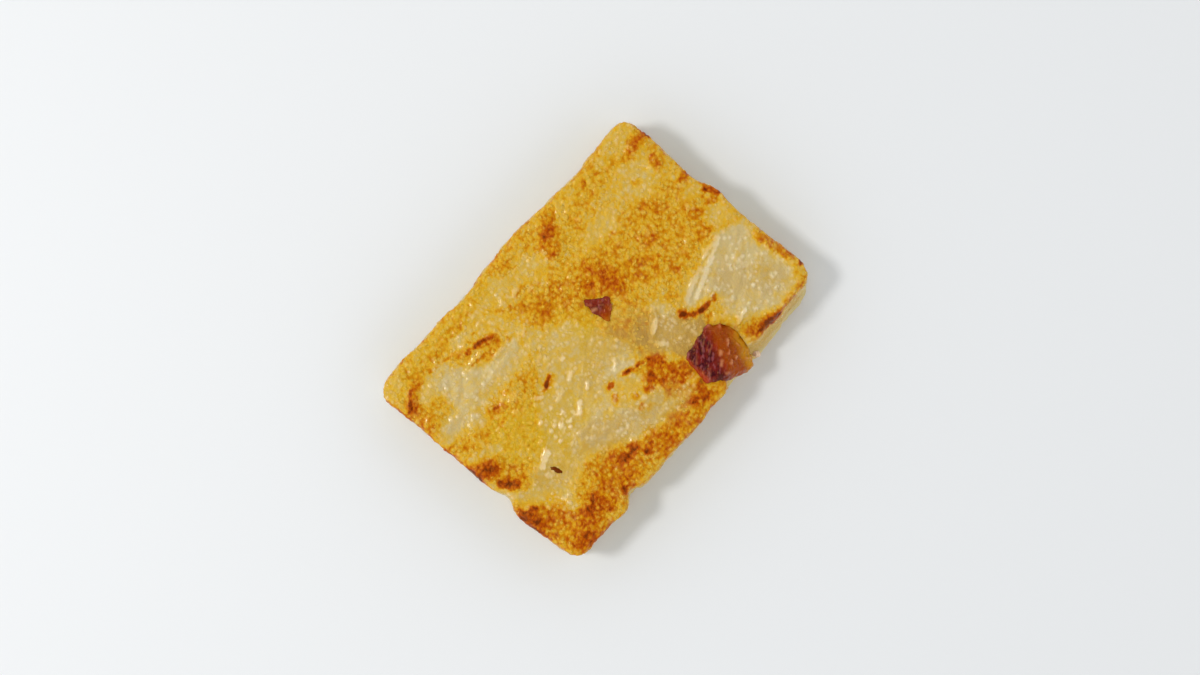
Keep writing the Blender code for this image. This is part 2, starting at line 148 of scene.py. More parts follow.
# Browned places, in the same way: 1 takes gold to brown, and 2 takes it to black
BROWN_STREAKS = (
    (-37.6, 19.7, -36.0, 21.0, 0.48, 1.0),
    (-35.8, 21.2, -34.0, 22.7, 0.4, 0.55),
    (-37.0, 20.2, -33.2, 22.2, 1.5, 0.56),
    (-36.8, 19.2, -36.6, 14.4, 1.9, 0.62),
    (-36.4, 24.2, -35.8, 24.0, 1.0, 0.3),
    (-31.9, 23.6, -31.6, 25.6, 1.1, 0.4),
    (-22.8, 20.2, -20.4, 18.8, 0.9, 0.56),
    (-20.6, 18.6, -17.0, 18.1, 0.6, 0.95),
    (-18.2, 18.2, -14.2, 16.8, 1.0, 0.84),
    (-16.6, 17.9, -14.8, 17.1, 0.45, 0.7),
    (-18.6, 15.2, -15.4, 15.2, 1.2, 0.42),
    (-21.8, 16.2, -18.8, 15.9, 0.4, 0.7),
    (-12.9, 14.0, -12.6, 13.6, 0.5, 0.85),
    (-11.6, 11.6, -9.6, 12.4, 0.7, 0.5),
    (-26.0, 24.2, -12.0, 24.0, 0.9, 0.3),
    (-30.0, 23.2, -16.6, 23.2, 0.7, 0.34),
    (-33.0, 22.0, -30.6, 21.7, 0.4, 0.6),
    (-28.4, 21.9, -26.6, 21.7, 0.4, 0.6),
    (-26.0, 21.6, -23.4, 20.9, 0.4, 0.45),
    (-26.2, 7.0, -24.6, 6.2, 1.2, 0.5),
    (-25.4, 6.9, -24.9, 6.2, 0.4, 0.8),
    (-24.8, 8.6, -23.8, 7.8, 0.6, 0.46),
    (-38.2, 8.0, -36.2, 5.6, 1.4, 0.34),
    (-30.0, 5.0, -22.0, 3.8, 1.7, 0.22),
    (-16.8, 6.8, -15.6, 5.0, 1.4, 0.34),
    (-15.0, 1.9, -13.0, 2.8, 0.38, 1.3),
    (-15.9, 1.5, -12.8, 2.6, 0.85, 0.6),
    (-14.6, 1.4, -12.9, 1.9, 1.1, 0.5),
    (-18.4, 1.4, -15.6, 1.4, 0.9, 0.74),
    (-8.0, 18.0, -4.2, 19.8, 2.2, 0.26),
    (-6.2, 14.4, -3.4, 12.2, 2.2, 0.46),
    (-2.6, 25.2, -1.0, 25.0, 1.1, 0.36),
    (-38.4, 0.9, -35.2, -0.6, 2.0, 0.95),
    (-37.0, 0.4, -33.0, -4.0, 2.9, 0.42),
    (-36.8, -4.3, -34.6, -6.8, 1.0, 1.05),
    (-36.0, -5.4, -33.6, -8.0, 1.7, 0.42),
    (-38.6, -12.4, -36.4, -13.2, 1.2, 0.9),
    (-38.8, -11.0, -38.4, -16.4, 1.5, 0.5),
    (-37.0, -17.0, -31.0, -24.6, 5.0, 0.86),
    (-26.0, -22.2, -10.0, -22.6, 3.4, 0.68),
    (-22.4, -17.2, -16.0, -18.6, 2.2, 0.52),
    (-15.0, -20.6, -12.4, -20.4, 1.35, 0.8),
    (-17.4, -18.4, -16.4, -17.8, 0.7, 0.6),
    (-26.2, -21.2, -25.0, -20.8, 0.7, 0.6),
    (-21.0, -24.9, -20.2, -24.5, 0.6, 0.6),
    (-22.0, -21.2, -20.2, -22.4, 1.5, 0.4),
    (-29.0, -22.2, -28.0, -22.0, 1.0, 0.5),
    (-35.4, -25.2, -32.6, -25.6, 1.3, 0.5),
    (-11.4, -22.8, -10.6, -22.6, 1.0, 0.5),
    (-7.0, -24.0, 4.0, -25.2, 2.8, 0.74),
    (3.2, -24.0, 5.0, -24.6, 1.2, 0.6),
    (7.0, -25.2, 10.0, -26.2, 1.2, 0.42),
    (-6.9, -8.3, -5.9, -8.2, 0.7, 1.75),
    (-2.3, -8.7, -1.5, -9.2, 0.6, 1.35),
    (-1.6, -9.0, 1.2, -9.7, 0.42, 0.6),
    (1.0, -9.8, 3.2, -10.4, 0.6, 0.9),
    (-7.8, -10.7, -7.2, -10.3, 0.8, 1.0),
    (3.4, -11.2, 5.6, -12.6, 1.2, 0.66),
    (2.8, -13.6, 3.6, -18.6, 2.7, 0.74),
    (1.2, -14.8, 2.0, -18.0, 1.7, 0.18),
    (-6.4, -11.2, -0.8, -14.2, 2.2, 0.4),
    (-4.9, -13.6, -4.2, -14.0, 0.8, 1.1),
    (-1.9, -14.6, -1.2, -15.0, 0.7, 1.1),
    (-5.3, -16.0, -4.8, -15.8, 0.6, 1.1),
    (-0.6, -12.0, 0.6, -13.0, 0.8, 0.2),
    (-4.2, -17.4, -3.6, -17.2, 0.5, 0.5),
    (5.4, -15.4, 6.8, -22.4, 1.5, 0.46),
    (6.6, 20.4, 9.8, 21.8, 2.4, 0.66),
    (7.6, 22.7, 8.0, 22.6, 0.4, 0.5),
    (5.6, 18.4, 7.4, 18.6, 0.8, 0.46),
    (9.4, 22.6, 12.4, 24.6, 1.5, 0.6),
    (21.2, 23.3, 22.0, 23.7, 0.6, 0.85),
    (20.8, 21.6, 22.4, 21.2, 1.1, 0.42),
    (25.0, 24.8, 28.4, 25.2, 0.5, 0.44),
    (25.6, 23.4, 27.0, 22.6, 1.4, 0.26),
    (32.0, 20.6, 38.4, 20.8, 1.1, 0.6),
    (35.0, 21.6, 38.6, 21.4, 1.2, 0.4),
    (38.6, 22.6, 38.6, 19.4, 0.6, 0.5),
    (35.5, 16.4, 35.1, 14.9, 1.25, 0.95),
    (36.2, 8.8, 37.2, 8.8, 1.0, 0.8),
    (36.0, 1.4, 37.2, 1.2, 0.8, 0.9),
    (38.0, 4.2, 38.8, 1.4, 0.75, 1.1),
    (37.0, 4.2, 37.4, 4.0, 0.5, 0.6),
    (17.4, 12.4, 18.6, 12.0, 0.7, 0.42),
    (22.6, 11.0, 24.2, 10.4, 1.0, 0.4),
    (26.2, 11.2, 27.0, 10.8, 0.9, 0.46),
    (29.0, 15.8, 29.6, 15.2, 0.8, 0.5),
    (32.4, 2.2, 33.2, 1.4, 1.2, 0.5),
    (14.6, 2.6, 15.4, 1.8, 1.1, 0.3),
    (16.4, 4.6, 17.4, 4.0, 1.0, 0.44),
    (12.0, 8.0, 32.0, 4.0, 6.0, 0.24),
    (0.4, 13.4, 7.8, 6.8, 5.2, 0.56),
    (11.6, 6.0, 16.6, 2.4, 2.6, 0.22),
    (21.4, 6.0, 22.6, 5.0, 1.6, 0.42),
    (28.4, 8.4, 29.4, 7.6, 1.3, 0.36),
    (22.0, -1.6, 32.0, -1.8, 1.8, 0.24),
    (30.6, -2.2, 31.4, -2.8, 1.0, 0.36),
    (21.0, -2.8, 21.6, -3.2, 0.6, 0.62),
    (4.0, -2.0, 8.0, -5.6, 2.6, 0.28),
    (10.4, 1.0, 11.2, -3.0, 1.2, 0.26),
    (15.4, -5.4, 16.4, -5.6, 0.9, 0.44),
    (14.8, -9.2, 15.6, -9.7, 0.75, 1.35),
    (15.0, -10.2, 16.6, -11.8, 0.7, 0.95),
    (18.0, -12.2, 20.4, -12.4, 0.62, 1.3),
    (21.5, -12.7, 22.4, -12.3, 0.55, 1.2),
    (15.4, -11.0, 22.0, -12.2, 1.2, 0.4),
    (37.5, -10.6, 38.6, -18.4, 1.0, 0.66),
    (36.6, -12.2, 37.0, -11.8, 0.7, 0.6),
    (21.4, -22.9, 24.4, -23.8, 1.4, 0.9),
    (20.4, -24.6, 22.8, -24.7, 0.7, 0.8),
    (23.6, -24.3, 25.8, -24.5, 0.8, 0.55),
    (25.8, -24.2, 28.2, -24.7, 1.05, 1.15),
    (31.0, -24.9, 36.8, -24.0, 1.0, 0.52),
    (39.1, -21.4, 39.5, -21.2, 0.5, 1.6),
    (6.8, -16.8, 6.6, -23.4, 0.9, 0.55),
    (16.9, -6.5, 17.4, -6.3, 0.45, 0.55),
    (-39.3, 25.0, -39.2, 11.0, 0.45, 0.8),
    (-39.2, 9.0, -39.0, -4.0, 0.45, 0.9),
    (39.3, 21.0, 38.9, 9.0, 0.45, 0.7),
    (39.6, 4.0, 39.4, -2.0, 0.4, 0.7),
    (39.6, -11.0, 39.6, -19.0, 0.4, 0.6),
)

# Places soaked with yellow fat, in the same way
SOAKED = (
    (-29.0, 0.0, -22.0, -4.4, 4.4, 0.9),
    (-28.0, 3.4, -16.0, 0.6, 2.0, 0.6),
    (-18.0, -4.4, -14.0, -3.6, 2.0, 0.7),
    (-20.0, -8.6, -12.0, -8.2, 1.4, 0.5),
    (-3.0, 15.0, 0.0, 4.0, 2.6, 0.4),
    (2.6, -1.0, 5.0, -7.4, 1.8, 0.45),
    (18.2, -22.0, 20.4, -25.8, 1.2, 0.6),
    (20.2, -15.4, 20.8, -19.0, 0.8, 0.5),
    (12.0, 21.0, 15.0, 6.0, 3.0, 0.25),
    (-26.0, -6.4, -24.0, -11.0, 2.6, 0.45),
    (-3.4, 1.0, 1.0, 6.0, 2.2, 0.4),
    (-9.0, -1.6, -2.0, 1.4, 3.0, 0.18),
    (22.0, -26.4, 37.0, -26.8, 1.6, 0.6),
    (-36.0, 24.8, -8.0, 25.2, 2.4, 0.4),
    (18.0, 24.8, 36.0, 24.2, 3.0, 0.3),
)

# Clear, darker batter, in the same way
CLEAR = (
    (7.4, -8.6, 12.8, -12.6, 3.6, 0.75),
    (2.0, -3.0, 6.0, -6.4, 2.4, 0.4),
    (4.6, -0.4, 8.6, -4.6, 3.0, 0.34),
    (9.0, -14.4, 17.0, -13.4, 1.0, 0.5),
    (20.4, -26.6, 37.0, -27.2, 1.7, 0.62),
    (-17.0, -13.0, 1.0, -20.4, 3.2, 0.42),
    (27.0, -13.0, 33.0, -19.0, 3.4, 0.3),
    (-8.0, -4.6, 0.0, -1.0, 3.0, 0.22),
    (-30.0, -10.6, -26.0, -13.0, 2.4, 0.3),
)

# Where the browning is spotted
SPOTTED = (
    (4.0, 12.0, 32.0, 4.0, 8.0, 0.22),
    (-34.0, -20.0, 2.0, -24.0, 4.6, 0.75),
    (-22.0, -18.0, -16.0, -18.0, 4.0, 0.8),
    (1.0, -12.0, 5.0, -18.0, 4.0, 0.18),
    (-37.0, -1.0, -34.0, -7.0, 4.0, 0.35),
    (-8.0, 18.0, -2.0, 11.0, 4.0, 0.55),
    (4.0, -2.0, 8.0, -7.0, 3.4, 0.2),
    (5.0, 20.0, 12.0, 22.0, 3.6, 0.25),
    (20.0, 24.0, 37.0, 15.0, 4.0, 0.45),
    (-37.0, 7.0, -24.0, 4.6, 5.0, 0.4),
)

# Shreds of radish in the pale places, and short shreds that the colour paints as glints, a painted
# highlight: from x, y to x, y, half width and height in the pale face
SHREDS = (
    (16.8, -8.6, 24.4, -6.2, 0.75, 0.3),
    (19.6, -9.8, 31.6, -5.0, 0.7, 0.32),
    (22.6, -10.6, 29.4, -7.4, 0.6, 0.22),
    (26.0, -15.2, 33.6, -9.2, 0.8, 0.2),
    (29.6, -19.6, 35.4, -13.6, 0.9, 0.2),
    (20.6, -9.2, 26.6, -6.4, 0.34, 0.28),
    (26.4, -5.5, 31.6, -4.4, 0.42, 0.36),
    (23.6, -9.4, 28.4, -6.8, 0.32, 0.22),
    (30.4, -10.8, 34.2, -9.2, 0.4, 0.26),
    (31.6, -8.8, 35.2, -7.2, 0.36, 0.24),
    (22.2, -18.9, 22.3, -19.0, 0.42, 0.38),
    (24.2, -19.3, 24.3, -19.3, 0.4, 0.38),
    (25.6, -20.2, 26.2, -20.6, 0.34, 0.32),
    (29.2, -16.9, 29.4, -17.0, 0.44, 0.36),
    (31.8, -20.8, 32.4, -21.0, 0.34, 0.32),
    (24.0, -18.6, 29.6, -13.4, 0.7, 0.16),
    (-19.0, -12.0, -9.0, -15.4, 0.85, 0.25),
    (-15.4, -15.0, -4.6, -19.6, 0.8, 0.26),
    (-12.4, -12.6, -6.4, -17.6, 0.6, 0.24),
    (-8.0, -19.2, 3.0, -21.0, 0.7, 0.26),
    (-35.6, 11.6, -23.0, 12.6, 0.75, 0.24),
    (-24.4, 11.4, -13.0, 12.2, 0.7, 0.26),
    (-30.0, 14.0, -24.0, 18.8, 0.7, 0.2),
    (-12.2, 4.6, -6.4, 8.4, 0.6, 0.24),
    (12.2, 13.4, 18.4, 16.6, 0.55, 0.2),
    (15.6, 12.8, 20.8, 15.8, 0.55, 0.2),
    (23.4, 14.6, 28.4, 18.8, 0.55, 0.16),
    (6.2, -8.8, 10.4, -5.2, 0.6, 0.28),
    (-21.4, 0.6, -10.4, -6.2, 0.9, 0.16),
    (-6.6, -5.8, 1.8, -9.0, 0.7, 0.26),
    (-28.2, -8.5, -25.4, -7.4, 0.75, 0.4),
    (-29.6, -8.2, -28.8, -7.6, 0.55, 0.3),
    (-14.6, -7.0, -13.0, -5.8, 0.65, 0.42),
    (-22.0, 5.2, -20.6, 5.8, 0.65, 0.34),
    (-18.4, 1.8, -17.2, 1.0, 0.6, 0.34),
    (-24.0, 6.4, -21.8, 7.6, 0.5, 0.3),
    (-16.0, -2.0, -13.4, -1.4, 0.45, 0.3),
    (-24.6, -9.2, -22.6, -9.6, 0.6, 0.26),
    (-21.6, 17.0, -19.0, 16.7, 0.45, 0.4),
    (-17.8, 14.1, -14.8, 13.9, 0.5, 0.3),
    (-10.2, 12.4, -8.6, 13.2, 0.5, 0.3),
    (-2.6, 17.6, -1.6, 17.8, 0.5, 0.34),
    (-5.2, 19.0, -4.2, 20.0, 0.6, 0.34),
    (-17.4, -9.8, -15.4, -10.2, 0.6, 0.28),
    (-10.6, -0.8, -9.4, -0.2, 0.6, 0.36),
    (-3.2, -6.6, -1.4, -5.4, 0.55, 0.32),
    (8.0, -7.6, 10.4, -6.2, 0.7, 0.38),
    (6.6, -9.6, 8.2, -11.4, 0.6, 0.36),
    (11.0, -5.6, 12.0, -4.4, 0.55, 0.3),
    (21.6, -19.6, 24.4, -19.0, 0.5, 0.34),
    (22.4, -14.2, 24.0, -15.4, 0.6, 0.28),
    (-8.6, 19.6, -6.8, 20.6, 0.5, 0.22),
    (-31.4, 15.4, -29.0, 17.0, 0.5, 0.26),
    (-27.6, 15.0, -25.8, 16.4, 0.5, 0.26),
    (-21.6, -5.0, -21.3, -5.0, 0.42, 0.38),
    (-20.3, -4.9, -20.0, -5.0, 0.42, 0.38),
    (-19.4, -5.9, -18.9, -5.8, 0.42, 0.4),
    (-21.7, -2.4, -21.2, -2.2, 0.48, 0.4),
    (-18.0, -2.0, -17.7, -1.9, 0.46, 0.4),
    (-17.2, -4.4, -16.7, -4.2, 0.4, 0.4),
    (-17.2, -6.7, -16.8, -6.6, 0.48, 0.4),
    (-23.3, 3.3, -22.8, 3.1, 0.5, 0.38),
    (-24.6, -4.9, -24.3, -4.9, 0.44, 0.38),
    (-18.3, -7.5, -18.0, -7.6, 0.44, 0.38),
    (-21.9, -7.9, -21.5, -8.0, 0.46, 0.38),
    (-9.8, -4.8, -8.7, -4.2, 0.4, 0.38),
    (-8.8, 2.9, -8.3, 3.0, 0.46, 0.38),
    (-25.2, -6.6, -24.8, -6.5, 0.42, 0.36),
    (-26.9, 5.3, -26.4, 5.1, 0.44, 0.38),
    (-28.7, 3.6, -28.2, 3.5, 0.42, 0.38),
)

# Ridge of the larger piece of sausage, from x, y to x, y: burgundy on one side of it, amber on the other
RIDGE = ((16.4, -15.2), (11.7, -25.4))

# Small beads of fat on the sausage, whose peach is partly their own colour and partly a painted highlight,
# in the same way as the shreds
SAUSAGE_BEADS = (
    (13.7, -24.0, 14.1, -23.8, 0.55, 0.6),
    (15.2, -24.0, 15.5, -23.9, 0.5, 0.55),
    (16.0, -20.9, 17.0, -20.3, 0.5, 0.55),
    (13.7, -21.2, 14.3, -20.7, 0.6, 0.5),
    (12.1, -22.8, 12.9, -22.3, 0.6, 0.5),
    (11.7, -24.5, 12.1, -24.8, 0.6, 0.4),
    (14.8, -22.4, 15.4, -22.0, 0.45, 0.4),
    (17.7, -17.3, 18.1, -17.1, 0.7, 0.4),
    (12.6, -17.4, 14.6, -16.2, 0.45, 0.3),
    (12.2, -19.5, 14.0, -18.6, 0.45, 0.3),
    (13.0, -18.3, 14.4, -17.6, 0.4, 0.28),
    (8.6, -22.8, 10.2, -21.6, 0.6, 0.28),
    (9.0, -18.8, 10.6, -17.4, 0.5, 0.28),
    (16.5, -15.6, 17.3, -15.4, 0.6, 0.42),
    (11.6, -15.9, 13.6, -15.6, 0.55, 0.32),
    (3.4, 4.8, 4.0, 4.4, 0.75, 0.4),
    (5.6, 2.4, 6.6, 3.0, 0.35, 0.3),
    (3.5, 6.6, 3.9, 5.9, 0.45, 0.34),
    (4.9, 4.6, 5.6, 4.0, 0.38, 0.28),
    (17.5, -22.7, 17.6, -22.3, 0.5, 0.4),
    (16.6, -25.6, 16.9, -26.2, 0.6, 0.3),
    (8.8, -16.3, 11.0, -15.9, 0.55, 0.32),
)


def size_property(name, description, size):
    """A small length in millimetres that a user may change."""
    return FloatProperty(
        name=name, description=description, default=size * MM, min=0.0, unit="LENGTH", precision=5
    )


class Sizes(PropertyGroup):
    """Sizes of the fine surface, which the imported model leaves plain."""

    slice_cell: size_property("Slice cell", "Width of a face of the slice", 0.375)
    sausage_cell: size_property("Sausage cell", "Width of a face of the sausage", 0.17)
    grain_height: size_property("Crust grain", "Height of the crust's grains", 0.20)
    window_depth: size_property("Pale hollows", "Step from the crust down to the pale places", 0.16)
    pit_depth: size_property("Pits", "Depth of the small open bubbles", 0.34)
    side_height: size_property("Cut side", "Unevenness of the cut sides", 0.27)
    sausage_growth: size_property("Sausage growth", "How far the sausage fills its pocket", 0.25)
    sausage_grain: size_property("Sausage grain", "Height of the sausage's grain", 0.24)


def colour_property(name, description, default):
    """A colour that a user may change."""
    return FloatVectorProperty(
        name=name, description=description, default=default, subtype="COLOR", size=3, min=0.0, max=1.0
    )


class Colours(PropertyGroup):
    """Colours of the slice, the sausage and the stage."""

    pale: colour_property("Pale", "Batter that missed the pan", (0.580, 0.440, 0.195))
    straw: colour_property("Straw", "Batter that just took colour", (0.620, 0.400, 0.075))
    gold: colour_property("Gold", "Fried face", (0.665, 0.368, 0.018))
    orange: colour_property("Orange", "Well fried face", (0.570, 0.210, 0.002))
    brown: colour_property("Brown", "Browned spots", (0.430, 0.067, 0.001))
    char: colour_property("Char", "Darkest spots", (0.150, 0.016, 0.001))
    soaked: colour_property("Soaked", "Face soaked with fat", (0.580, 0.352, 0.011))
    cut_side: colour_property("Cut side", "Sides as cut", (0.620, 0.480, 0.170))
    clear: colour_property("Clear", "Clear radish in the cut sides", (0.480, 0.370, 0.140))
    tan: colour_property("Tan", "Clear, darker batter in the face", (0.450, 0.265, 0.065))
    shred: colour_property("Shred", "Radish in the cut sides", (0.600, 0.510, 0.250))
    burgundy: colour_property("Burgundy", "Lean sausage", (0.175, 0.012, 0.011))
    dark_meat: colour_property("Dark meat", "Seared lean sausage", (0.055, 0.004, 0.009))
    amber: colour_property("Amber", "Fat side of the sausage", (0.305, 0.046, 0.001))
    # Painted glow: the red of the thin edges and the ridge stands for light through the sausage; it also
    # tints patches of the fat
    ember: colour_property("Ember", "Thin red edges of the sausage", (0.430, 0.045, 0.002))
    # Partly the colour of the beads of fat, partly a painted highlight on them
    peach_glint: colour_property("Peach", "Beads of fat on the sausage", (0.680, 0.280, 0.110))
    fat: colour_property("Fat", "Crumb of fat beside the sausage", (0.850, 0.620, 0.450))
    honey: colour_property("Honey", "Clear rim of the fat", (0.520, 0.220, 0.004))
    # Painted sheen on the lean sausage
    mauve_sheen: colour_property("Mauve", "Sheen on the lean sausage", (0.285, 0.078, 0.088))
    # Cream and glaze colour the beads, drops and shreds: partly pale clear batter, partly a painted
    # highlight
    cream_glint: colour_property("Cream", "Beads and shreds of clear batter", (0.840, 0.710, 0.460))
    glaze_glint: colour_property("Glaze", "Beads on the fried face", (0.800, 0.480, 0.070))
    oil: colour_property("Oil", "Tint of the shine on the crust", (1.000, 0.740, 0.130))
    grease: colour_property("Grease", "Tint of the shine on the sausage", (1.000, 0.420, 0.060))
    floor: colour_property("Floor", "Floor of the stage", (0.800, 0.810, 0.815))


class Stage(PropertyGroup):
    """Camera, lights and floor."""

    view_width: FloatProperty(
        name="View width", description="Width that the camera takes in, at the fried face",
        default=0.250, unit="LENGTH"
    )
    view_turn: FloatProperty(
        name="View turn", description="Turn of the slice's long side from the image's lower edge",
        default=math.radians(49.0), subtype="ANGLE"
    )
    lens: FloatProperty(name="Lens", description="Focal length", default=85.0, unit="CAMERA")
    key_power: FloatProperty(
        name="Key light", description="Power of the key light", default=3.0, unit="POWER"
    )
    key_size: FloatProperty(
        name="Key size", description="Width of the key light", default=0.18, unit="LENGTH"
    )
    fill_strength: FloatProperty(
        name="Fill light", description="Strength of the light all round", default=1.14
    )
    zenith_strength: FloatProperty(
        name="Overhead", description="Strength of the light overhead", default=0.10
    )
    floor_size: FloatProperty(name="Floor", description="Side of the floor", default=4.0, unit="LENGTH")


class RadishCake(PropertyGroup):
    """All settings of the add-on."""

    sizes: PointerProperty(type=Sizes)
    colours: PointerProperty(type=Colours)
    stage: PointerProperty(type=Stage)


def ease(low, high, values):
    """0 below low and 1 above high, with an even curve between them. low may be above high."""
    share = np.clip((np.asarray(values, float) - low) / (high - low), 0.0, 1.0)
    return share * share * (3.0 - 2.0 * share)


def even_noise(points, size, seed):
    """Even noise from about -1 to 1 at each point, with features about size across."""
    places = points / np.asarray(size, float) + np.array((seed, -1.7 * seed, 0.6 * seed))
    return np.array([noise.noise(place) for place in places.tolist()])


def cells(points, size, seed):
    """Distance to the nearest cell centre, and to the second nearest, for cells about size across."""
    places = points / np.asarray(size, float) + np.array((seed, 2.3 * seed, -0.9 * seed))
    found = [noise.voronoi(place)[0] for place in places.tolist()]
    return np.array([near[0] for near in found]), np.array([near[1] for near in found])


def streaks(plan, rows, ragged, most=False, core=0.55):
    """Sum of streaks over the plan, or the most of them, each with an uneven border and a flat core."""
    total = np.zeros(len(plan))
    for x1, y1, x2, y2, half_width, amount in rows:
        start, run = np.array((x1, y1)), np.array((x2 - x1, y2 - y1))
        share = np.clip((plan - start) @ run / max(run @ run, 1e-6), 0.0, 1.0)
        away = np.hypot(*(plan - start - share[:, None] * run).T) / half_width
        here = amount * ease(1.35, core, away + ragged)
        total = np.maximum(total, here) if most else total + here
    return total


def depth_inside(plan, outline):
    """Distance to a closed outline, above 0 inside it and below 0 outside it."""
    away = np.full(len(plan), np.inf)
    inside = np.zeros(len(plan), bool)
    x, y = plan.T
    for (x1, y1), (x2, y2) in zip(outline, outline[1:] + outline[:1]):
        start, run = np.array((x1, y1)), np.array((x2 - x1, y2 - y1))
        share = np.clip((plan - start) @ run / (run @ run), 0.0, 1.0)
        away = np.minimum(away, np.hypot(*(plan - start - share[:, None] * run).T))
        if y1 != y2:
            crossed = (y1 > y) != (y2 > y)
            inside ^= crossed & (x < x1 + (y - y1) * (x2 - x1) / (y2 - y1))
    return np.where(inside, away, -away)


def working_copy(node, name):
    """A new object with a closed copy of a CAD node's mesh, in millimetres."""
    solid = bmesh.new()
    solid.from_mesh(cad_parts[node].data)
    bmesh.ops.remove_doubles(solid, verts=solid.verts, dist=1e-6)
    bmesh.ops.scale(solid, vec=Vector((1.0, 1.0, 1.0)) / MM, verts=solid.verts)
    mesh = bpy.data.meshes.new(name)
    solid.to_mesh(mesh)
    solid.free()
    made = bpy.data.objects.new(name, mesh)
    bpy.context.scene.collection.objects.link(made)
    return made


def evenly_meshed(made, cell):
    """Gives an object an even, closed mesh of square faces about cell wide."""
    remesh = made.modifiers.new("even faces", "REMESH")
    remesh.mode = "VOXEL"
    remesh.voxel_size = cell
    remesh.use_smooth_shade = True
    seen = made.evaluated_get(bpy.context.evaluated_depsgraph_get())
    mesh = bpy.data.meshes.new_from_object(seen)
    made.modifiers.clear()
    old, made.data = made.data, mesh
    mesh.name = made.name
    bpy.data.meshes.remove(old)
    if len(mesh.polygons) < 100:
        raise RuntimeError(f"{made.name} came out of the remesh nearly empty")


def relaxed(made, rounds):
    """Smooths an object's mesh a little."""
    solid = bmesh.new()
    solid.from_mesh(made.data)
    for _ in range(rounds):
        bmesh.ops.smooth_vert(
            solid, verts=solid.verts, factor=0.5, use_axis_x=True, use_axis_y=True, use_axis_z=True
        )
    solid.to_mesh(made.data)
    solid.free()


def places_and_normals(made):
    """A mesh's points and their normals, as arrays."""
    count = len(made.data.vertices)
    places, normals = np.empty(count * 3), np.empty(count * 3)
    made.data.vertices.foreach_get("co", places)
    made.data.vertex_normals.foreach_get("vector", normals)
    return places.reshape(-1, 3), normals.reshape(-1, 3)


def put_places(made, places):
    """Moves a mesh's points to new places."""
    made.data.vertices.foreach_set("co", places.ravel())
    made.data.update()


def put_values(made, name, values):
    """Stores one number at each point of a mesh, for its material."""
    made.data.attributes.new(name, "FLOAT", "POINT").data.foreach_set("value", values.astype(np.float32))


def finished(made, finish, node):
    """Brings a piece to metres, gives it its finish and its body, and hides the CAD node it stands for."""
    made.data.transform(Matrix.Scale(MM, 4))
    made.data.materials.clear()
    made.data.materials.append(finish)
    made.data.shade_smooth()
    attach(made, "root")
    if node:
        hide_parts(node)


class Socket:
    """One output of a material's node, which takes part in sums as a number does."""

    def __init__(self, finish, link):
        self.finish = finish
        self.link = link

    def maths(self, operation, first, second):
        """A sum of two sockets or numbers, by a Math node."""
        return self.finish.node("ShaderNodeMath", {"operation": operation}, {0: first, 1: second})

    def __add__(self, other):
        return self.maths("ADD", self, other)

    def __sub__(self, other):
        return self.maths("SUBTRACT", self, other)

    def __mul__(self, other):
        return self.maths("MULTIPLY", self, other)

    def __rsub__(self, other):
        return self.maths("SUBTRACT", other, self)

    __radd__ = __add__
    __rmul__ = __mul__

    def step(self, low, high):
        """0 below low, 1 above high, even between them."""
        return self.finish.node(
            "ShaderNodeMapRange", {"interpolation_type": "SMOOTHSTEP"}, {0: self, 1: low, 2: high}
        )


class Finish:
    """A material that is being made."""

    def __init__(self, name):
        self.material = bpy.data.materials.new(name)
        self.material.use_nodes = True
        self.tree = self.material.node_tree
        self.shader = self.tree.nodes["Principled BSDF"]
        self.place = self.node("ShaderNodeTexCoord", output="Object")

    def node(self, kind, settings=None, inputs=None, output=0):
        """Adds a node with its settings and its inputs, and gives one of its outputs."""
        made = self.tree.nodes.new(kind)
        for name, value in (settings or {}).items():
            if name == "stops":
                self.set_stops(made.color_ramp, value)
            else:
                setattr(made, name, value)
        for name, value in (inputs or {}).items():
            self.feed(made.inputs[name], value)
        return Socket(self, made.outputs[output])

    def feed(self, socket, value):
        """Links a socket, or sets its value."""
        if isinstance(value, Socket):
            self.tree.links.new(value.link, socket)
        elif socket.type == "RGBA":
            socket.default_value = (*value, 1.0)
        else:
            socket.default_value = value

    @staticmethod
    def set_stops(ramp, stops):
        """Gives a colour ramp its stops, as places and colours."""
        while len(ramp.elements) < len(stops):
            ramp.elements.new(1.0)
        for element, (place, colour) in zip(ramp.elements, stops):
            element.position = place
            element.color = (*colour, 1.0)

    def stored(self, name):
        """A number that the mesh stores at each point."""
        return self.node("ShaderNodeAttribute", {"attribute_name": name}, output="Fac")

    def grain(self, size, detail=2.0, stretch=None):
        """Noise from 0 to 1 with features about size millimetres across, turned and drawn out if asked."""
        place = self.place
        if stretch:
            turn, lengths = stretch
            place = self.node(
                "ShaderNodeMapping", {"vector_type": "TEXTURE"},
                {"Vector": place, "Rotation": (0.0, 0.0, turn), "Scale": lengths},
            )
        inputs = {"Vector": place, "Scale": 1.0 / (size * MM), "Detail": detail, "Roughness": 0.55}
        return self.node("ShaderNodeTexNoise", inputs=inputs)

    def bubbles(self, size):
        """Distance to the middle of the nearest of many round places about size millimetres apart."""
        inputs = {"Vector": self.place, "Scale": 1.0 / (size * MM)}
        return self.node("ShaderNodeTexVoronoi", inputs=inputs, output="Distance")

    def mixed(self, share, first, second):
        """The first colour with a share of the second mixed in."""
        settings = {"data_type": "RGBA", "blend_type": "MIX", "clamp_factor": True}
        return self.node("ShaderNodeMix", settings, {0: share, 6: first, 7: second}, output=2)

    def bumped(self, height, depth, normal=None):
        """A normal bent by a height from 0 to 1 that stands for depth millimetres."""
        inputs = {"Height": height, "Distance": depth * MM, "Strength": 1.0}
        if normal:
            inputs["Normal"] = normal
        return self.node("ShaderNodeBump", inputs=inputs)

    def shade(self, **inputs):
        """Sets the shader's own sockets, named with underscores for spaces."""
        for name, value in inputs.items():
            self.feed(self.shader.inputs[name.replace("_", " ")], value)


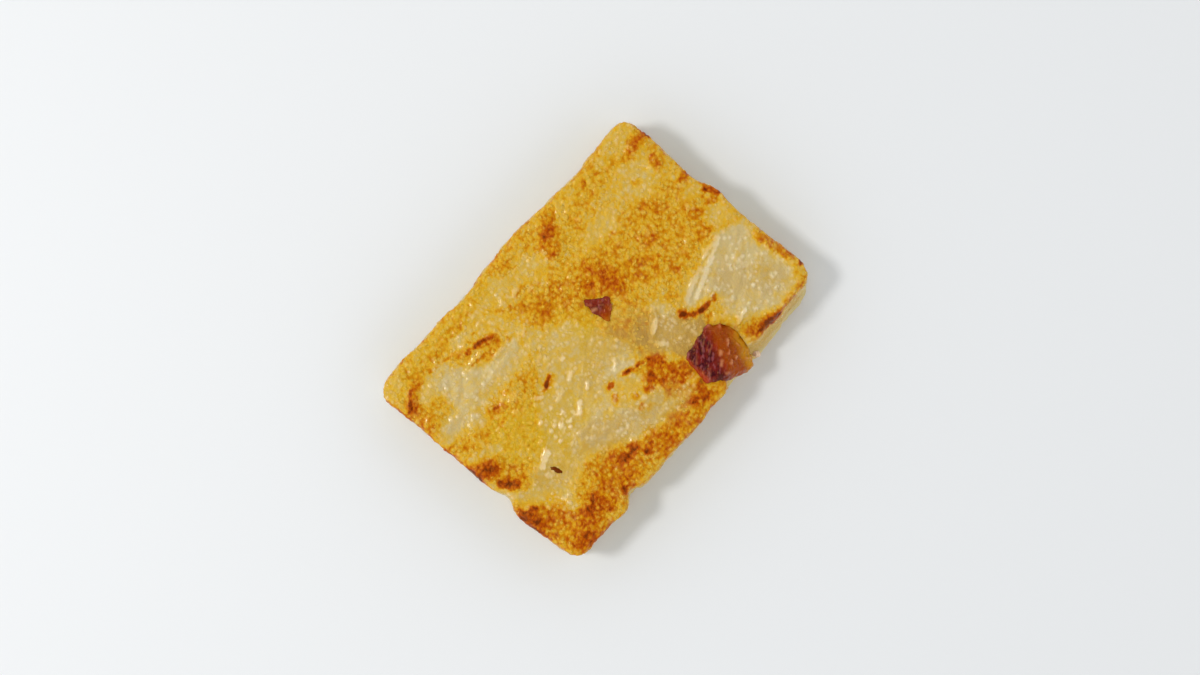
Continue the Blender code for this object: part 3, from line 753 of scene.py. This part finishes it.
def crust_finish(colours):
    """Fried batter: its colour follows the stored browning, with finer grain added here."""
    finish = Finish("fried crust")
    browning = finish.stored("browning")
    soaked = finish.stored("soaked")
    cut = finish.stored("cut")
    pale = finish.stored("pale")
    wet = finish.stored("wet")
    bead = finish.stored("bead")
    clear = finish.stored("clear")

    coarse = finish.grain(1.5)
    fine = finish.grain(0.50, detail=1.0)
    dust = finish.grain(0.22, detail=1.0)

    # Drops of fat and clear batter, in clusters where the face is pale
    clusters = finish.grain(4.2, detail=1.0)
    beaded = (1.0 - pale * clusters.step(0.56, 0.42)) * (1.0 - cut)
    away = finish.bubbles(0.95) + (fine - 0.5) * 0.4
    drop = away.step(0.50, 0.24) * coarse.step(0.32, 0.56) * browning.step(2.4, 1.3) * beaded

    # The browning, which grains of several sizes break up; it rises away from the middles of the drops, a
    # painted shade around them
    crusty = 1.0 - pale * 0.75
    level = browning + (coarse - 0.5) * (1.4 * crusty) + (away - 0.5) * (0.8 * crusty)
    level = level + (fine - 0.5) * (0.5 * crusty) + (dust - 0.5) * 0.25
    stops = (
        (0.00, colours.pale), (0.17, colours.straw), (0.36, colours.gold), (0.55, colours.orange),
        (0.76, colours.brown), (1.00, colours.char),
    )
    fried = finish.node("ShaderNodeValToRGB", {"stops": stops}, {"Fac": level * (1.0 / 3.0)})

    # Films of fat and of clear batter over it, and its drops and beads, whose lighter colour is partly pale
    # batter and partly a painted highlight
    film = coarse.step(0.20, 0.66) * (1.0 - away.step(0.42, 0.64) * 0.50)
    fried = finish.mixed(soaked * film, fried, colours.soaked)
    fried = finish.mixed(clear * 0.9, fried, colours.tan)
    # Colour of the beads, drops and shreds: partly pale batter, partly a painted highlight
    light = finish.mixed(pale, colours.glaze_glint, colours.cream_glint)
    fried = finish.mixed(bead * 0.65, finish.mixed(drop * (0.45 - pale * 0.15), fried, light), light)

    # The cut sides: shreds and clear patches, drawn out along the layers
    strands = finish.grain(1.3, detail=3.0, stretch=(0.0, (3.5, 3.5, 1.0)))
    patches = finish.grain(1.5, stretch=(0.0, (2.4, 2.4, 1.0)))
    side = finish.mixed(strands.step(0.42, 0.62), colours.cut_side, colours.shred)
    side = finish.mixed(patches.step(0.50, 0.68) * 0.50, side, colours.clear)
    side = finish.mixed(coarse.step(0.55, 0.80) * 0.5, side, colours.straw)
    colour = finish.mixed(cut, fried, side)

    normal = finish.bumped(fine, 0.16)
    normal = finish.bumped(drop * (1.0 - pale * 0.5) * (1.0 - soaked * 0.6), 0.20, normal=normal)
    normal = finish.bumped(dust, 0.05, normal=normal)
    finish.shade(
        Base_Color=colour,
        Roughness=0.38 - wet * 0.20 - drop * 0.08 + (fine - 0.5) * 0.15,
        Specular_Tint=colours.oil,
        Specular_IOR_Level=0.40,
        Coat_Weight=bead * 0.8,
        Coat_Roughness=0.18,
        IOR=1.42,
        Normal=normal,
        Subsurface_Weight=0.22,
        Subsurface_Radius=(1.0, 0.55, 0.18),
        Subsurface_Scale=1.6 * MM,
    )
    return finish.material


def sausage_finish(colours):
    """Cured sausage: burgundy where it was seared, amber fat on the other side."""
    finish = Finish("cured sausage")
    amber = finish.stored("amber")
    ember = finish.stored("ember")
    bead = finish.stored("bead")
    coarse = finish.grain(1.6)
    strokes = finish.grain(0.75, stretch=(math.radians(40.0), (2.2, 1.0, 1.0)))
    fine = finish.grain(0.35)

    meat = finish.mixed(coarse.step(0.36, 0.62), colours.dark_meat, colours.burgundy)
    # Painted sheen in mauve strokes along the muscle
    meat = finish.mixed(strokes.step(0.51, 0.68) * 0.65, meat, colours.mauve_sheen)
    # Painted glow in red on the thin edges and the ridge
    meat = finish.mixed(ember, meat, colours.ember)
    fat = finish.mixed((amber - 1.0).step(0.0, 1.0), colours.amber, colours.honey)
    fat = finish.mixed(coarse.step(0.52, 0.72) * 0.40, fat, colours.ember)
    fat = finish.mixed(fine.step(0.50, 0.75) * 0.15, fat, colours.gold)
    # Painted highlight in peach on the beads of fat, partly their own colour
    colour = finish.mixed(bead * 0.7, finish.mixed(amber, meat, fat), colours.peach_glint)

    normal = finish.bumped(strokes, 0.20)
    normal = finish.bumped(fine, 0.05, normal=normal)
    finish.shade(
        Base_Color=colour,
        Roughness=0.25 + (fine - 0.5) * 0.2,
        Specular_Tint=colours.grease,
        Specular_IOR_Level=0.40,
        Coat_Weight=0.08 + bead * 0.6,
        Coat_Roughness=0.14,
        IOR=1.45,
        Normal=normal,
        Subsurface_Weight=0.15,
        Subsurface_Radius=(1.0, 0.25, 0.06),
        Subsurface_Scale=1.4 * MM,
    )
    return finish.material


def scrap_finish(name, colour, tint):
    """A small scrap of one colour with a fine grain."""
    finish = Finish(name)
    fine = finish.grain(0.3, detail=3.0)
    finish.shade(
        Base_Color=finish.mixed(fine.step(0.3, 0.7), tuple(0.75 * part for part in colour), colour),
        Roughness=0.35 + (fine - 0.5) * 0.2,
        Specular_Tint=tint,
        Normal=finish.bumped(fine, 0.06),
    )
    return finish.material


def beside_sausage(places):
    """How close each point is to the sausage, from 0 to 1, where it touches it, and its collar's width."""
    close, touches, collar = np.zeros(len(places)), places.copy(), np.zeros(len(places))
    for node, width in COLLARS.items():
        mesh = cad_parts[node].data
        corners = [vert.co / MM for vert in mesh.vertices]
        tree = BVHTree.FromPolygons(corners, [tuple(face.vertices) for face in mesh.polygons])
        near = np.all((places > np.min(corners, 0) - 2.0) & (places < np.max(corners, 0) + 2.0), 1)
        for index in np.flatnonzero(near).tolist():
            touch, _, _, away = tree.find_nearest(places[index].tolist())
            close[index] = ease(2.0, 0.45, away)
            touches[index] = touch
            collar[index] = width
    return close, touches, collar


def slice_fields(places, normals, close):
    """Browning, soaking, clearness, paleness and cut side over the whole slice, as arrays."""
    height = places[:, 2]
    # The underside has the face's pattern, turned about
    below = (normals[:, 2] < -0.5) & (height < 2.0)
    plan = np.where(below[:, None], -places[:, :2] * (1.0, 0.94), places[:, :2])

    coarse = even_noise(places, 3.4, 3.0)
    middle = even_noise(places, 1.5, 9.0)
    fine = even_noise(places, 0.75, 21.0)
    ragged = 0.42 * coarse + 0.40 * middle + 0.30 * fine
    shore = 0.9 * coarse + 0.7 * middle + 0.4 * fine

    pale = np.zeros(len(plan))
    for amount, outline in PALE_PLACES:
        pale = np.maximum(pale, amount * ease(-1.3, 1.5, depth_inside(plan, outline) + shore))
    pale = np.maximum(pale, streaks(plan, PALE_STREAKS, ragged, most=True))
    browned = streaks(plan, BROWN_STREAKS, ragged)
    soaked = np.clip(streaks(plan, SOAKED, ragged), 0.0, 1.0)
    clear = np.clip(streaks(plan, CLEAR, ragged), 0.0, 1.0)
    spotted = np.clip(streaks(plan, SPOTTED, ragged), 0.0, 1.0)

    # Browning: 0 pale, 1 gold, 2 brown, 3 black
    crust = 1.0 - 0.8 * pale
    browning = 0.99 - 0.92 * pale + browned
    browning += crust * (0.24 * even_noise(places, 8.0, 41.0) + 0.15 * coarse)
    browning += crust * (0.26 + 0.30 * spotted) * middle + crust * (0.26 + 0.2 * spotted) * fine
    browning += pale * (0.34 * even_noise(places, 2.3, 45.0) + 0.22 * even_noise(places, 5.5, 47.0))
    browning += pale * 0.30 * even_noise(places, 1.1, 49.0)
    spots = ease(0.18, 0.60, even_noise(places, 1.25, 57.0) + 0.25 * fine)
    browning += spots * (0.08 + 0.34 * spotted) * (0.25 + 0.75 * crust)

    # The cut sides between the crusts above and below, and the long side where it is cut aslant
    ribbon = 0.7 * coarse + 0.5 * middle
    slanted = ease(9.0, 13.0, plan[:, 0]) * ease(37.0, 33.0, plan[:, 0]) * ease(-24.4, -26.0, plan[:, 1])
    near_top = ease(FACE - 2.7, FACE - 0.8, height + ribbon - 0.9 * slanted)
    near_base = ease(2.3, 0.7, height + ribbon)
    cut = (1.0 - np.maximum(near_top, near_base)) * ease(0.86, 0.5, np.abs(normals[:, 2]))
    cut = np.maximum(cut, 0.15 * slanted * ease(0.95, 0.7, normals[:, 2]) * (height > 3.0))
    rim = ease(0.92, 0.6, np.abs(normals[:, 2])) * (1.0 - cut)
    browning += rim * (0.22 + 0.45 * coarse) * (1.0 - close)
    cut *= (1.0 - close) * (1.0 - 0.85 * slanted * ease(4.0, 8.0, height))
    cut *= 1.0 - ease(0.4, 0.9, browned) * ease(0.0, 0.3, slanted) * ease(6.0, 8.5, height)
    unburnt = ease(2.1, 1.4, browning)
    # Next to the sausage the soaked yellow is partly fat and partly painted light that lifts the shade in
    # the crevice
    soaked = np.maximum(soaked * unburnt, 0.7 * close)
    return browning, soaked, clear * unburnt, np.clip(pale, 0.0, 1.0), cut


def slice_relief(places, normals, browning, pale, cut, sizes):
    """How far each point of the slice stands out in millimetres, how wet it is, its beads and glints, which
    the colour paints as highlights, and its lumps.
    """
    grain_near, grain_next = cells(places, 1.15, 5.0)
    lumps = ease(0.05, 0.75, 1.0 - grain_near) * ease(0.0, 0.25, grain_next - grain_near)
    small = even_noise(places, 0.9, 71.0)
    fried = 1.0 - cut
    crust = (1.0 - 0.85 * pale) * fried

    relief = sizes.grain_height / MM * crust * (1.1 * (lumps - 0.6) + 0.5 * small)
    relief += 0.05 * ease(1.5, 2.4, browning) * fried
    relief -= sizes.window_depth / MM * ease(0.25, 0.6, pale) * fried

    above = ((normals[:, 2] > 0.3) & (places[:, 2] > FACE - 3.0)).astype(float)
    wander = 0.45 * even_noise(places, 2.4, 83.0) + 0.45 * even_noise(places, 0.9, 85.0)
    shreds = streaks(places[:, :2], SHREDS, wander, most=True) * above
    relief += shreds * (0.5 + 0.5 * pale)
    bead_near, _ = cells(places, 1.15, 97.0)
    beads = ease(0.50, 0.14, bead_near) * ease(-0.15, 0.25, even_noise(places, 2.6, 99.0))
    relief += 0.24 * beads * (0.5 + 0.5 * pale) * fried
    fibres = ease(0.05, 0.45, even_noise(places @ STRAND_TURN, (4.2, 0.75, 1.5), 105.0))
    relief += 0.13 * fibres * pale * fried

    pits = ease(0.50, 0.68, even_noise(places, 1.35, 111.0) + 0.08 * cut) * (0.35 + 0.65 * cut)
    relief -= sizes.pit_depth / MM * pits
    rough = 0.6 * even_noise(places, (2.6, 2.6, 1.4), 127.0) + 0.4 * even_noise(places, 0.9, 131.0)
    rough += 0.9 * ease(0.10, 0.30, even_noise(places, (4.4, 4.4, 0.95), 133.0))
    relief += sizes.side_height / MM * cut * rough

    # Beads and the tallest shreds, which the colour paints lighter as glints: a painted highlight
    bright = np.maximum(beads, ease(0.24, 0.34, shreds) + 0.5 * ease(0.35, 0.40, shreds)) * fried
    wet = 0.25 + 0.5 * lumps * crust + 0.30 * pale + 0.4 * bright - 0.3 * ease(1.6, 2.3, browning)
    return relief, np.clip(wet * (1.0 - 0.8 * cut), 0.0, 1.0), bright, lumps * crust


def lapped(moved, places, touches, close, collar):
    """Brings the batter up to the sausage, with a low collar that laps against it."""
    moved = moved + (touches - moved) * close[:, None]
    collar = collar * close * ease(FACE - 2.6, FACE - 1.8, places[:, 2])
    towards = (touches - places) * (1.0, 1.0, 0.0)
    towards /= np.maximum(np.linalg.norm(towards, axis=1), 0.05)[:, None]
    return moved + (towards + (0.0, 0.0, 1.3)) * collar[:, None]


class RADISHCAKE_OT_slice(Operator):
    """Makes the fried slice over its solid: grain, pale places, shreds, pits and browning"""

    bl_idname = "radish_cake.slice"
    bl_label = "Fried slice"

    def execute(self, context):
        settings = context.scene.radish_cake
        made = working_copy("cake_slice", "fried_slice")
        evenly_meshed(made, settings.sizes.slice_cell / MM)
        relaxed(made, 3)
        places, normals = places_and_normals(made)
        close, touches, collar = beside_sausage(places)
        browning, soaked, clear, pale, cut = slice_fields(places, normals, close)
        relief, wet, beads, lumps = slice_relief(places, normals, browning, pale, cut, settings.sizes)
        moved = lapped(places + normals * relief[:, None], places, touches, close, collar)
        put_places(made, np.clip(moved, LOW, HIGH))
        # The browning is lowered on the crests of the lumps and raised between them: painted light on the
        # crests, painted shade in the gaps
        stored = {
            "browning": browning + 0.55 * (0.5 - lumps) * (1.0 - pale),
            "wet": wet, "bead": beads * ease(2.2, 1.3, browning),
            "clear": clear, "soaked": soaked, "pale": pale, "cut": cut,
        }
        for name, values in stored.items():
            put_values(made, name, values)
        finished(made, crust_finish(settings.colours), "cake_slice")
        return {"FINISHED"}


class RADISHCAKE_OT_sausage(Operator):
    """Makes the two pieces of cured sausage over their solids"""

    bl_idname = "radish_cake.sausage"
    bl_label = "Cured sausage"

    def execute(self, context):
        settings = context.scene.radish_cake
        finish = sausage_finish(settings.colours)
        # Solid, name of its piece, and rounds of smoothing
        pieces = (("sausage_chunk", "sausage_dice", 16), ("sausage_bit", "sausage_corner", 7))
        for node, name, rounds in pieces:
            made = working_copy(node, name)
            evenly_meshed(made, settings.sizes.sausage_cell / MM)
            relaxed(made, rounds)
            places, normals = places_and_normals(made)
            amber, ember = self.fat_places(places, normals, node)
            near, following = cells(places, 1.7, 7.0)
            lean = 1.0 - 0.4 * np.clip(amber, 0.0, 1.0)
            grain = lean * (ease(0.0, 0.40, following - near) - 0.6) + 0.7 * even_noise(places, 1.1, 15.0)
            grain += 0.7 * lean * even_noise(places @ MUSCLE_TURN, (2.2, 0.8, 1.5), 17.0)
            ragged = 0.4 * even_noise(places, 0.8, 19.0)
            beads = streaks(places[:, :2], SAUSAGE_BEADS, ragged, most=True, core=-0.4)
            relief = settings.sizes.sausage_growth / MM + settings.sizes.sausage_grain / MM * grain
            relief += beads * ease(0.2, 0.5, normals[:, 2])
            moved = places + normals * relief[:, None]
            put_places(made, np.clip(moved, LOW, HIGH))
            put_values(made, "amber", amber)
            put_values(made, "ember", ember)
            put_values(made, "bead", ease(0.08, 0.56, beads))
            finished(made, finish, node)
        return {"FINISHED"}

    @staticmethod
    def fat_places(places, normals, node):
        """Where the sausage is amber fat, and where a red glow is painted on its thin edges and along its
        ridge.
        """
        if node == "sausage_bit":
            tail = ease(4.2, 1.2, places[:, 1] + 0.8 * even_noise(places, 1.2, 5.0))
            return 1.35 * tail, 0.15 + 0.30 * tail
        (x1, y1), (x2, y2) = RIDGE
        run = np.array((x2 - x1, y2 - y1))
        run /= np.hypot(*run)
        beyond = (places[:, 1] - y1) * run[0] - (places[:, 0] - x1) * run[1]
        beyond += 0.5 * even_noise(places, 1.6, 11.0)
        amber = ease(-0.5, 0.8, beyond) + ease(2.6, 5.6, beyond)
        leaning = places[:, 0] - 0.12 * (places[:, 1] + 19.5)
        edge = ease(9.3, 8.0, leaning + 0.8 * even_noise(places, 1.5, 13.0))
        return amber, np.maximum(0.7 * edge, 0.3 * ease(1.2, 0.2, np.abs(beyond + 0.2)))


class RADISHCAKE_OT_scraps(Operator):
    """Makes the charred fleck on the face and the crumb of fat beside the sausage"""

    bl_idname = "radish_cake.scraps"
    bl_label = "Small scraps"

    def execute(self, context):
        colours = context.scene.radish_cake.colours
        # Name, place in the plan, half its sides, its turn in degrees, colour and slot
        scraps = (
            ("charred_fleck", (-26.8, -11.3), (1.25, 0.50, 0.16), -72.0, colours.char, "fried_cake"),
            ("fat_crumb", (19.0, -27.0), (1.05, 0.65, 0.60), -70.0, colours.fat, "cured_sausage"),
        )
        for name, (x, y), half, turn, colour, slot in scraps:
            scrap = bmesh.new()
            bmesh.ops.create_icosphere(scrap, subdivisions=4, radius=1.0)
            for vert in scrap.verts:
                vert.co *= 1.0 + 0.32 * noise.noise(vert.co * 2.2 + Vector((x, y, 0.0)))
            bmesh.ops.scale(scrap, vec=half, verts=scrap.verts)
            bmesh.ops.rotate(scrap, matrix=Matrix.Rotation(math.radians(turn), 3, "Z"), verts=scrap.verts)
            stands = self.height_at(x, y) + 0.3 * half[2]
            bmesh.ops.translate(scrap, vec=(x, y, stands), verts=scrap.verts)
            mesh = bpy.data.meshes.new(name)
            scrap.to_mesh(mesh)
            scrap.free()
            made = bpy.data.objects.new(name, mesh)
            context.scene.collection.objects.link(made)
            finished(made, scrap_finish(name, colour, colours.oil), None)
        return {"FINISHED"}

    @staticmethod
    def height_at(x, y):
        """Height of the fried slice at a place in its plan, in millimetres."""
        slice_object = bpy.data.objects["fried_slice"]
        hit, place, _, _ = slice_object.ray_cast(Vector((x * MM, y * MM, 1.0)), Vector((0.0, 0.0, -1.0)))
        if not hit:
            raise RuntimeError(f"the slice has no face under {x}, {y}")
        return place.z / MM


class RADISHCAKE_OT_stage(Operator):
    """Makes the floor, the lights and the camera"""

    bl_idname = "radish_cake.stage"
    bl_label = "Stage"

    def execute(self, context):
        stage = context.scene.radish_cake.stage
        self.add_floor(context, stage)
        self.add_lights(context, stage)
        self.add_camera(context, stage)
        return {"FINISHED"}

    @staticmethod
    def add_floor(context, stage):
        """A plain pale floor, just under the slice."""
        finish = Finish("pale floor")
        finish.shade(Base_Color=context.scene.radish_cake.colours.floor, Roughness=0.5)
        floor = bmesh.new()
        bmesh.ops.create_grid(floor, x_segments=1, y_segments=1, size=stage.floor_size / 2)
        bmesh.ops.translate(floor, vec=(0.0, 0.0, -0.05 * MM), verts=floor.verts)
        mesh = bpy.data.meshes.new("floor")
        floor.to_mesh(mesh)
        floor.free()
        mesh.materials.append(finish.material)
        made = bpy.data.objects.new("floor", mesh)
        context.scene.collection.objects.link(made)

    @staticmethod
    def add_lights(context, stage):
        """Light all round that fades overhead, and a soft key light."""
        world = bpy.data.worlds.new("soft light")
        world.use_nodes = True
        tree = world.node_tree
        background = tree.nodes["Background"]
        background.inputs["Color"].default_value = (0.97, 0.985, 1.0, 1.0)
        sky = tree.nodes.new("ShaderNodeTexCoord")
        parts = tree.nodes.new("ShaderNodeSeparateXYZ")
        tree.links.new(sky.outputs["Generated"], parts.inputs["Vector"])
        fade = tree.nodes.new("ShaderNodeMapRange")
        fade.interpolation_type = "SMOOTHSTEP"
        limits = (*FADE, stage.fill_strength, stage.zenith_strength)
        for name, value in zip(("From Min", "From Max", "To Min", "To Max"), limits):
            fade.inputs[name].default_value = value
        tree.links.new(parts.outputs["Z"], fade.inputs["Value"])
        tree.links.new(fade.outputs["Result"], background.inputs["Strength"])
        context.scene.world = world

        lamp = bpy.data.lights.new("key light", "AREA")
        lamp.shape = "DISK"
        lamp.size = stage.key_size
        lamp.energy = stage.key_power
        lamp.color = (1.0, 0.995, 0.985)
        made = bpy.data.objects.new("key light", lamp)
        made.location = KEY_WAY * KEY_DISTANCE
        made.rotation_euler = KEY_WAY.to_track_quat("Z", "Y").to_euler()
        made.visible_camera = False
        context.scene.collection.objects.link(made)

    @staticmethod
    def add_camera(context, stage):
        """A camera that looks straight down at the slice."""
        camera = bpy.data.cameras.new("camera")
        camera.lens = stage.lens
        camera.sensor_width = 36.0
        camera.clip_start = 0.01
        made = bpy.data.objects.new("camera", camera)
        distance = stage.view_width * stage.lens / camera.sensor_width
        made.location = (0.0, 0.0, FACE * MM + distance)
        made.rotation_euler = (0.0, 0.0, -stage.view_turn)
        context.scene.collection.objects.link(made)
        context.scene.camera = made
        context.scene.view_settings.view_transform = "Standard"


class RADISHCAKE_PT_panel(Panel):
    """Lists what the add-on makes and its settings"""

    bl_idname = "RADISHCAKE_PT_panel"
    bl_label = "Fried Radish Cake"
    bl_space_type = "VIEW_3D"
    bl_region_type = "UI"
    bl_category = "Radish Cake"

    def draw(self, context):
        """Draws a button for each operator, and the settings below them."""
        settings = context.scene.radish_cake
        for step in STEPS:
            self.layout.operator(step.bl_idname)
        for group in (settings.sizes, settings.colours, settings.stage):
            box = self.layout.box()
            for name in group.bl_rna.properties.keys():
                if name not in ("name", "rna_type"):
                    box.prop(group, name)


STEPS = (RADISHCAKE_OT_slice, RADISHCAKE_OT_sausage, RADISHCAKE_OT_scraps, RADISHCAKE_OT_stage)
CLASSES = (Sizes, Colours, Stage, RadishCake, *STEPS, RADISHCAKE_PT_panel)


def register():
    """Registers the add-on's classes and its settings."""
    for made in CLASSES:
        bpy.utils.register_class(made)
    bpy.types.Scene.radish_cake = PointerProperty(type=RadishCake)


def unregister():
    """Takes the settings and the classes away again."""
    del bpy.types.Scene.radish_cake
    for made in reversed(CLASSES):
        bpy.utils.unregister_class(made)


def main():
    """Makes the slice and its stage."""
    register()
    bpy.ops.radish_cake.slice()
    bpy.ops.radish_cake.sausage()
    bpy.ops.radish_cake.scraps()
    bpy.ops.radish_cake.stage()


if __name__ == "__main__":
    main()
